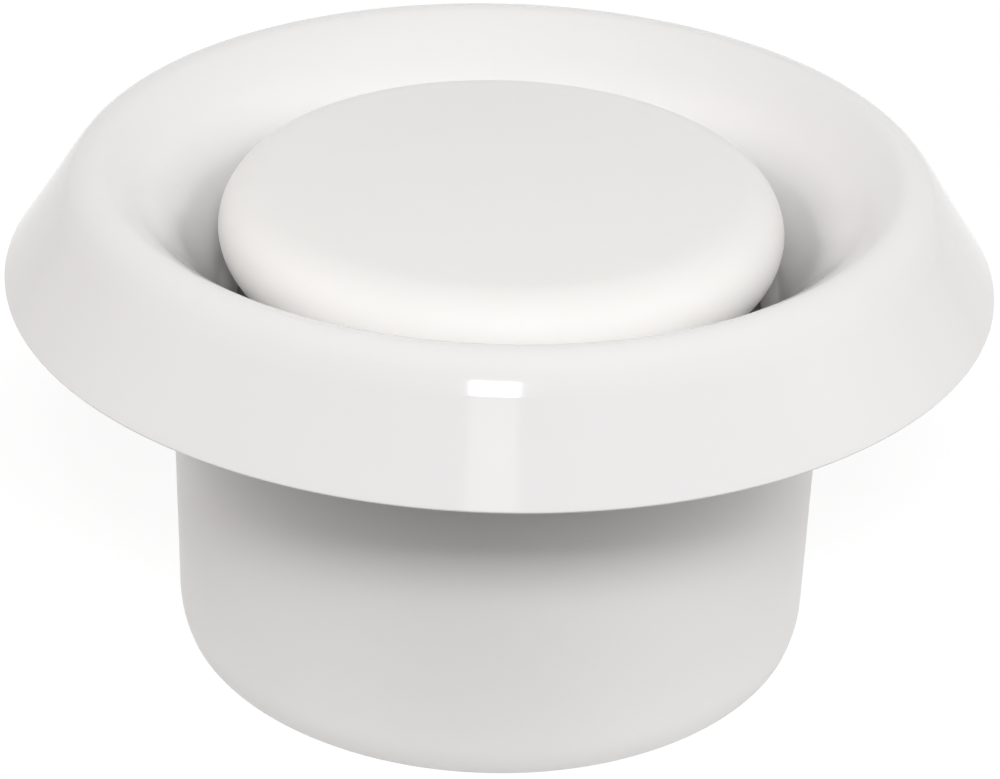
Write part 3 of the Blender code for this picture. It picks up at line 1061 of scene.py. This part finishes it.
def hexagon(across: float, low: float, high: float) -> Shape:
    """Makes a six-sided bar on the axis, with corners on the X axis, in millimetres.

    Args:
        across: Width across the flats.
        low: Foot of the bar.
        high: Top of the bar.

    Returns:
        The closed bar.
    """
    shape = bmesh.new()
    radius = hexagon_corner(across) * MM
    bmesh.ops.create_cone(
        shape, cap_ends=True, cap_tris=False, segments=6, radius1=radius, radius2=radius,
        depth=(high - low) * MM,
    )
    return raised(shape, 0.5 * (low + high))


@dataclass
class ControlDisc:
    """Hollow disc with a rolled edge, a boss for the spindle and ribs under its face."""

    edge_round: float = 7.4
    wall: float = 2.0
    edge_turn: float = math.radians(-48.0)
    boss_radius: float = 8.0
    boss_depth: float = 13.5
    boss_fillet: float = 0.8
    boss_draft: float = 0.3
    socket_depth: float = 10.0
    thread_hole: float = 4.25
    rib_count: int = 6
    rib_thickness: float = 1.5
    rib_height: float = 7.0
    rib_end: float = math.radians(20.0)
    rib_end_height: float = 5.6
    radius: float = field(init=False)
    centre_z: float = field(init=False)
    crown: float = field(init=False)

    def __post_init__(self) -> None:
        """Works out the disc's radius, crown and height from the frame."""
        self.radius = node_radius("control_disc")
        self.centre_z = node_low("control_disc") + self.boss_depth - self.edge_round
        self.crown = node_high("control_disc") - self.centre_z - self.edge_round

    def section(self) -> list[Point]:
        """Section of the disc about the centre of its rounded edge.

        Returns:
            Points of the section, from the dome's middle round to the boss's.
        """
        centre = (self.radius - self.edge_round, 0.0)
        fall = 2.0 * math.atan2(self.crown, centre[0])
        reach = centre[0] / math.sin(fall)
        dome, outer = (0.0, -reach * math.cos(fall)), reach + self.edge_round
        points = [(0.0, dome[1] + outer)]
        points += [stepped(dome, outer, QUARTER - fall * i / DOME_STEPS) for i in range(1, DOME_STEPS)]
        points += arc(centre, self.edge_round, QUARTER - fall, self.edge_turn)
        middle = self.edge_round - 0.5 * self.wall
        tip = stepped(centre, middle, self.edge_turn)
        points += arc(tip, 0.5 * self.wall, self.edge_turn, self.edge_turn - HALF)[1:-1]
        points += arc(centre, self.edge_round - self.wall, self.edge_turn, QUARTER)
        low = self.edge_round - self.boss_depth
        roof = self.edge_round + self.crown - self.wall
        points += corner_arc((self.boss_radius, roof), self.boss_fillet, QUARTER, HALF)
        points += [(self.boss_radius - self.boss_draft, low), (self.thread_hole, low)]
        points += [(self.thread_hole, low + self.socket_depth), (0.0, low + self.socket_depth)]
        return points

    def rib(self) -> Shape:
        """One rib along +X, from inside the boss's wall to inside the edge.

        Returns:
            The closed rib.
        """
        centre = (self.radius - self.edge_round, 0.0)
        middle = self.edge_round - 0.5 * self.wall
        inside = 0.5 * (self.thread_hole + self.boss_radius)
        points = [(inside, middle - self.rib_height), (centre[0], middle - self.rib_end_height)]
        points += arc(centre, middle, self.rib_end, QUARTER)
        points += [(inside, middle + 0.5 * self.crown)]
        corners = [Vector((r, -0.5 * self.rib_thickness, z)) for r, z in points]
        return extruded(corners, Vector((0, self.rib_thickness, 0)))

    def build(self) -> None:
        """Makes and dresses the disc."""
        ribs = around(self.rib(), self.rib_count, 0.5 * TURN / self.rib_count)
        shape = combined(turned(self.section()), ribs, Operation.UNION)
        raised(shape, self.centre_z)
        publish(shape, Dress("disc_moulding", "control_disc", Body.DISC, Slot.SATIN, SATIN_ABS))


@dataclass
class Hardware:
    """Threaded spindle, with its nuts and washers.

    The thread's form is a list of points, as shares of the pitch and of the thread's depth.
    """

    across_flats: float = 13.0
    corner_round: float = 0.15
    end_radius: float = 6.24
    end_angle: float = math.radians(30.0)
    thread_radius: float = 3.95
    thread_depth: float = 0.68
    pitch: float = 1.25
    thread_form: tuple[Point, ...] = (
        (0.0, 0.0), (0.11, 0.0), (0.45, 1.0), (0.57, 1.0), (0.91, 0.0), (1.0, 0.0),
    )
    bore: float = 4.12
    countersink: float = 0.5
    chamfer: float = 0.8
    trim: float = 0.01
    washer_edge: float = 0.2
    turn_steps: int = 48

    def nut(self, node: str, body: Body) -> None:
        """Makes and dresses the nut that stands for a frame node.

        Args:
            node: The frame node.
            body: Body that the nut rides on.
        """
        low, high = node_low(node), node_high(node)
        corner, face = hexagon_corner(self.across_flats), self.end_radius
        fall = (corner - face) * math.tan(self.end_angle)
        sink = self.countersink
        points = [(self.bore, low + sink), (self.bore + sink, low), (face, low), (corner, low + fall)]
        points += [(corner, high - fall), (face, high), (self.bore + sink, high), (self.bore, high - sink)]
        prism = hexagon(self.across_flats, low - PAST, high + PAST)
        prism = rounded(prism, sharp_edges(prism), self.corner_round, segments=3)
        shape = combined(prism, turned(points, SMALL_STEPS), Operation.INTERSECT)
        publish(shape, Dress(node + "_zinc", node, body, Slot.ZINC, ZINC), sharp=20.0)

    def washer(self, node: str, body: Body) -> None:
        """Makes and dresses the washer that stands for a frame node.

        Args:
            node: The frame node.
            body: Body that the washer rides on.
        """
        low, high, outer = node_low(node), node_high(node), node_radius(node)
        points = [(self.bore, low)]
        points += corner_arc((outer, low), self.washer_edge, -QUARTER, 0.0)
        points += corner_arc((outer, high), self.washer_edge, 0.0, QUARTER)
        points += [(self.bore, high)]
        shape = turned(points, SMALL_STEPS)
        publish(shape, Dress(node + "_zinc", node, body, Slot.ZINC, ZINC))

    def thread(self, low: float, high: float) -> Shape:
        """A rolled thread, as one pitch of its section swept along its helix.

        Args:
            low: Foot of the thread.
            high: Top of the thread.

        Returns:
            A closed bar, flat at both ends.
        """
        root = self.thread_radius - self.thread_depth
        turns = math.ceil((high - low) / self.pitch) + 2
        points = [(root + depth * self.thread_depth, low + (share - 1.5) * self.pitch)
                  for share, depth in self.thread_form]
        shape = bmesh.new()
        geometry = section_edges(shape, points, False)
        bmesh.ops.spin(
            shape, geom=geometry, axis=(0, 0, 1), dvec=(0, 0, self.pitch * MM / self.turn_steps),
            angle=TURN * turns, steps=self.turn_steps * turns,
        )
        bmesh.ops.remove_doubles(shape, verts=shape.verts, dist=CLOSE)
        for height, side in ((low, -1.0), (high, 1.0)):
            everything = list(shape.verts) + list(shape.edges) + list(shape.faces)
            bmesh.ops.bisect_plane(
                shape, geom=everything, plane_co=(0, 0, height * MM), plane_no=(0, 0, side), clear_outer=True,
            )
        rims = [e for e in shape.edges if e.is_boundary]
        bmesh.ops.holes_fill(shape, edges=rims, sides=0)
        return tidy(shape)

    def spindle(self) -> None:
        """Makes and dresses the spindle, its thread run out by a chamfer at both ends."""
        low, high = node_low("spindle"), node_high("spindle")
        start, stop, end = low + self.trim, high - self.trim, self.thread_radius - self.chamfer
        clear = self.thread_radius + 2.0 * self.trim
        bar = [(0.0, start), (end, start), (clear, low + self.chamfer)]
        bar += [(clear, high - self.chamfer), (end, stop), (0.0, stop)]
        shape = combined(self.thread(low, high), turned(bar, SMALL_STEPS), Operation.INTERSECT)
        publish(shape, Dress("spindle_thread", "spindle", Body.SPINDLE, Slot.ZINC, ZINC), sharp=25.0)

    def build(self) -> None:
        """Makes every metal piece."""
        self.spindle()
        self.nut("disc_nut", Body.DISC)
        self.nut("hub_nut", Body.VALVE)
        self.nut("lock_nut", Body.VALVE)
        self.washer("disc_washer", Body.DISC)
        self.washer("lock_washer", Body.VALVE)


# Studio


@dataclass(frozen=True)
class Softbox:
    """White softbox that faces the valve.

    Attributes:
        name: Name of the lamp.
        azimuth: Its direction around the valve, in degrees from the camera's side towards the right.
        elevation: Its height above the horizon, in degrees.
        size: Width and height, in millimetres.
        power: Power in watts.
        colour: Colour of its light.
        mirrored: Whether glossy surfaces show it. The others stand for the white room that they show anyway.
        distance: Distance from the valve, in millimetres.
    """

    name: str
    azimuth: float
    elevation: float
    size: tuple[float, float]
    power: float
    colour: str = "#ffffff"
    mirrored: bool = False
    distance: float = 1100.0

    def hang(self, centre: Vector) -> None:
        """Hangs the softbox so that it faces a point.

        Args:
            centre: The point, in metres.
        """
        data = bpy.data.lights.new(self.name, "AREA")
        data.shape = "RECTANGLE"
        data.size, data.size_y = self.size[0] * MM, self.size[1] * MM
        data.energy = self.power
        data.color = linear(self.colour)[:3]
        obj = linked(data, self.name)
        around_z, up = math.radians(self.azimuth), math.radians(self.elevation)
        level = self.distance * math.cos(up)
        away = Vector((level * math.sin(around_z), -level * math.cos(around_z), self.distance * math.sin(up)))
        obj.location = centre + away * MM
        obj.rotation_euler = (-away).to_track_quat("-Z", "Y").to_euler()
        obj.visible_glossy = self.mirrored


# The key lamp draws the bright patch on the shoulder, and its apron the faint column below the patch.
# The others are the room's broad light, and glossy surfaces show the white room in place of them.
SOFTBOXES = (
    Softbox("key_softbox", -0.4, 42.1, (187.0, 165.0), 1.2, mirrored=True),
    Softbox("key_apron", -0.4, 33.3, (187.0, 165.0), 0.11, mirrored=True),
    Softbox("front_softbox", 5.0, 43.5, (300.0, 200.0), 4.5),
    Softbox("wide_softbox", 11.0, 39.0, (1100.0, 500.0), 3.2),
    Softbox("right_softbox", 90.0, 25.0, (600.0, 700.0), 5.2, "#fffdfb"),
    Softbox("left_softbox", -90.0, 28.0, (600.0, 700.0), 5.1, "#fffbf8"),
    Softbox("back_softbox", 180.0, 31.0, (600.0, 500.0), 2.3),
)


@dataclass
class Studio:
    """Camera, lamps, world and floor.

    Attributes:
        camera_place: Camera's place, in millimetres.
        camera_aim: Point on the valve's middle plane that the picture is centred on.
        camera_roll: Roll of the camera, in degrees.
        lens: Focal length on a 36 mm sensor.
        lamp_aim: Point that the softboxes face, in millimetres.
        floor_size: Side of the floor, in millimetres.
        sheet_radius: Radius of the paler sheet under the valve, in millimetres.
        sheet_fade: Share of that radius by which the sheet's edge fades, each way.
        sheet_colour: Colour of that sheet as it lights the valve.
        floor_colour: Colour of the rest of the floor as it lights the valve.
        floor_shadow: Colour that is seen where light falls on the floor, and lost in the shadow.
        floor_glow: Light of the floor that the camera sees, besides that colour.
    """

    camera_place: tuple[float, float, float] = (0.0, -389.94, 254.54)
    camera_aim: tuple[float, float, float] = (0.55, 0.0, 36.97)
    camera_roll: float = 1.762
    lens: float = 104.41
    lamp_aim: tuple[float, float, float] = (0.0, 0.0, 55.0)
    floor_size: float = 4000.0
    sheet_radius: float = 115.0
    sheet_fade: float = 0.13
    sheet_colour: str = "#cecece"
    floor_colour: str = "#6c6c6c"
    floor_shadow: str = "#7a7a7a"
    floor_glow: float = 0.86

    def camera(self) -> None:
        """Stands the camera where the photograph was taken."""
        data = bpy.data.cameras.new("camera")
        data.lens = self.lens
        data.clip_start, data.clip_end = 0.01, 20.0
        obj = linked(data, "camera")
        place, aim = Vector(self.camera_place) * MM, Vector(self.camera_aim) * MM
        look = (aim - place).to_track_quat("-Z", "Y").to_matrix().to_4x4()
        roll = Matrix.Rotation(math.radians(self.camera_roll), 4, "Z")
        obj.matrix_world = Matrix.Translation(place) @ look @ roll
        bpy.context.scene.camera = obj

    @staticmethod
    def shown(tree: bpy.types.NodeTree) -> bpy.types.NodeSocket:
        """Tells the rays that look at the white background: from the camera, a mirror or glass.

        Args:
            tree: Node tree that gets the nodes.

        Returns:
            A value of one for those rays, and of nought for the others.
        """
        path = add_node(tree, "ShaderNodeLightPath")
        seen = path.outputs["Is Camera Ray"]
        for ray in ("Is Glossy Ray", "Is Transmission Ray"):
            either = add_node(tree, "ShaderNodeMath", {0: seen, 1: path.outputs[ray]}, operation="MAXIMUM")
            seen = either.outputs[0]
        return seen

    def world(self) -> None:
        """Shows plain white behind the valve, which the softboxes alone light."""
        world = bpy.data.worlds.new("studio")
        bpy.context.scene.world = world
        world.use_nodes = True
        tree = world.node_tree
        tree.nodes.clear()
        backdrop = add_node(tree, "ShaderNodeBackground", {
            "Color": linear("#ffffff"), "Strength": self.shown(tree),
        })
        add_node(tree, "ShaderNodeOutputWorld", {"Surface": backdrop.outputs[0]})

    def floor(self) -> None:
        """Lays a pale floor, which the camera sees as white with the valve's soft shadow on it."""
        shape = bmesh.new()
        bmesh.ops.create_grid(shape, x_segments=1, y_segments=1, size=0.5 * self.floor_size * MM)
        obj = linked(as_mesh(shape, "floor"), "floor")
        material = blank_material("matt_white_paper")
        tree = material.node_tree
        place = add_node(tree, "ShaderNodeTexCoord")
        reach = add_node(tree, "ShaderNodeVectorMath", {0: place.outputs["Object"]}, operation="LENGTH")
        beyond = add_node(tree, "ShaderNodeMapRange", {
            "Value": reach.outputs["Value"], "From Min": (1.0 - self.sheet_fade) * self.sheet_radius * MM,
            "From Max": (1.0 + self.sheet_fade) * self.sheet_radius * MM,
        })
        tone = add_node(tree, "ShaderNodeMix", {
            0: beyond.outputs["Result"], 6: linear(self.sheet_colour), 7: linear(self.floor_colour),
        }, data_type="RGBA")
        paper = add_node(tree, "ShaderNodeBsdfDiffuse", {"Color": tone.outputs[2]})
        backing = add_node(tree, "ShaderNodeBsdfDiffuse", {"Color": linear(self.floor_shadow)})
        glow = add_node(tree, "ShaderNodeEmission", {"Color": linear("#ffffff"), "Strength": self.floor_glow})
        lit = add_node(tree, "ShaderNodeAddShader", {0: backing.outputs[0], 1: glow.outputs[0]})
        mix = add_node(tree, "ShaderNodeMixShader", {
            0: self.shown(tree), 1: paper.outputs[0], 2: lit.outputs[0],
        })
        add_node(tree, "ShaderNodeOutputMaterial", {"Surface": mix.outputs[0]})
        obj.data.materials.append(material)

    def build(self) -> None:
        """Sets up the whole studio."""
        bpy.context.scene.view_settings.view_transform = "Standard"
        self.camera()
        self.world()
        self.floor()
        for softbox in SOFTBOXES:
            softbox.hang(Vector(self.lamp_aim) * MM)


def main() -> None:
    """Builds every piece and the studio in order."""
    logging.basicConfig(level=logging.INFO, format="%(message)s")
    collar = DuctCollar()
    ring = ValveRing(collar)
    seat_foot = collar.wall_z + ring.bell_height(collar.bore, ring.rim_wall + ring.seat_gap)
    collar.build(seat_foot, ring.slope)
    WallGasket().build(collar)
    ring.build()
    ControlDisc().build()
    Hardware().build()
    Studio().build()


if __name__ == "__main__":
    main()
